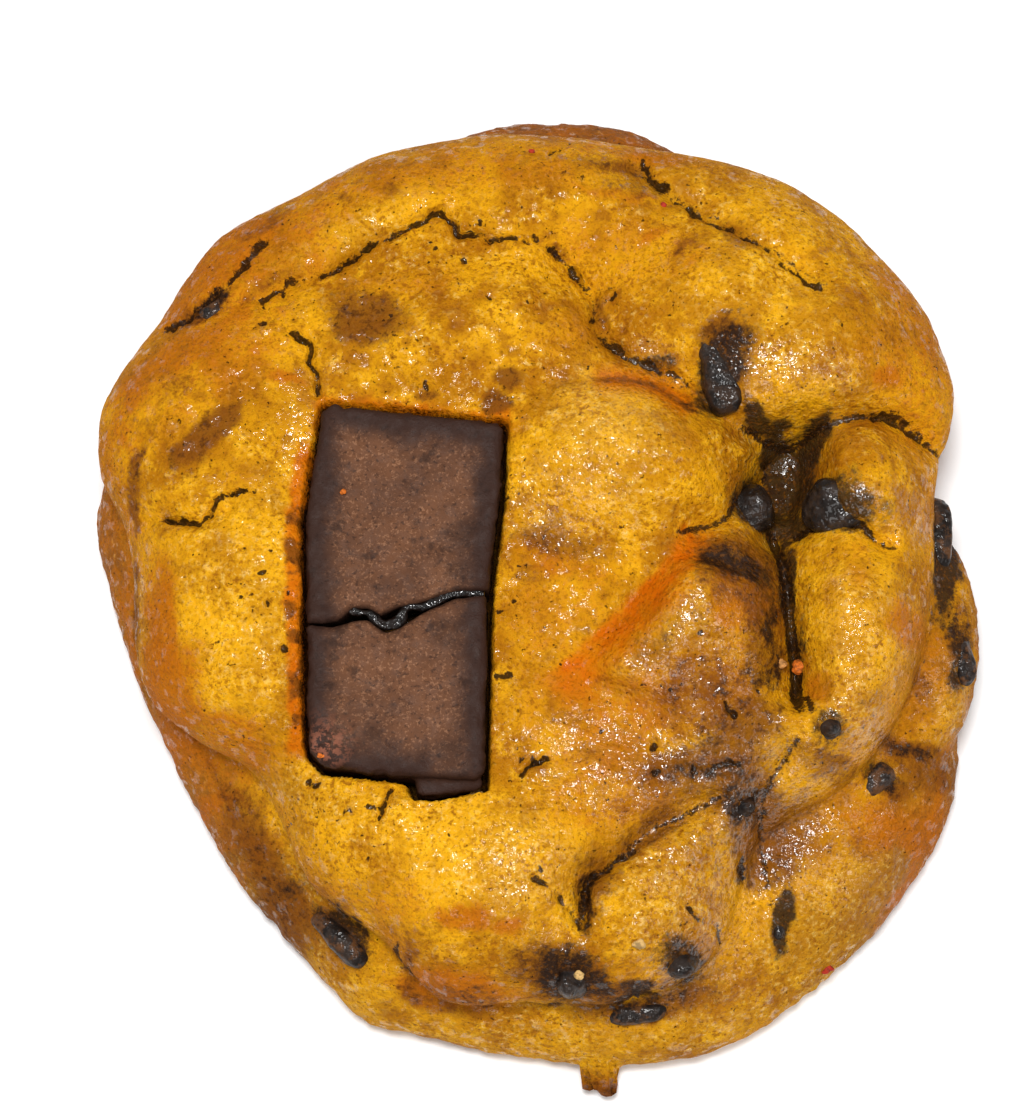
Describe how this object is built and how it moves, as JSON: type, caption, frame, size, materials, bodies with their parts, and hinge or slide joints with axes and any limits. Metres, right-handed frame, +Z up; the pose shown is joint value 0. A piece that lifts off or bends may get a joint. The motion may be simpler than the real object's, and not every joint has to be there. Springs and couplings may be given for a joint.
{
  "type": "chocolate chip cookie",
  "caption": "Thick bakery cookie of folded dough with a cracked piece of dark chocolate bar sunk in its top and chocolate chips in its folds and sides.",
  "frame": {"origin": "on the table, at the middle of the cookie's bounding box seen from above", "axes": "+Z up out of the table; +Y away from the eater, along the longer way across and roughly along the piece of bar; +X to the eater's right"},
  "size_m": [0.1017, 0.1148, 0.0299],
  "materials": {
    "dough": "baked dough, golden with browned and buttery places",
    "bar_chocolate": "dark chocolate, dull and dusty from the oven",
    "chip_chocolate": "dark chocolate, melted glossy"
  },
  "bodies": {
    "root": {"dough": "dough", "bar_upper_square": "bar_chocolate", "bar_lower_square": "bar_chocolate", "chip_pit_west": "chip_chocolate", "chip_pit_east": "chip_chocolate", "chip_upper_right": "chip_chocolate", "chip_column_foot": "chip_chocolate", "chip_south_west": "chip_chocolate", "chip_south": "chip_chocolate", "chip_crumbled": "chip_chocolate", "chunk_left_groove": "chip_chocolate", "chunk_left_rim": "chip_chocolate", "chunk_right_groove": "chip_chocolate", "chunk_right_bulge": "chip_chocolate", "chunk_east_groove": "chip_chocolate", "chunk_south_groove": "chip_chocolate", "chip_east_hole": "chip_chocolate"}
  },
  "joints": []
}
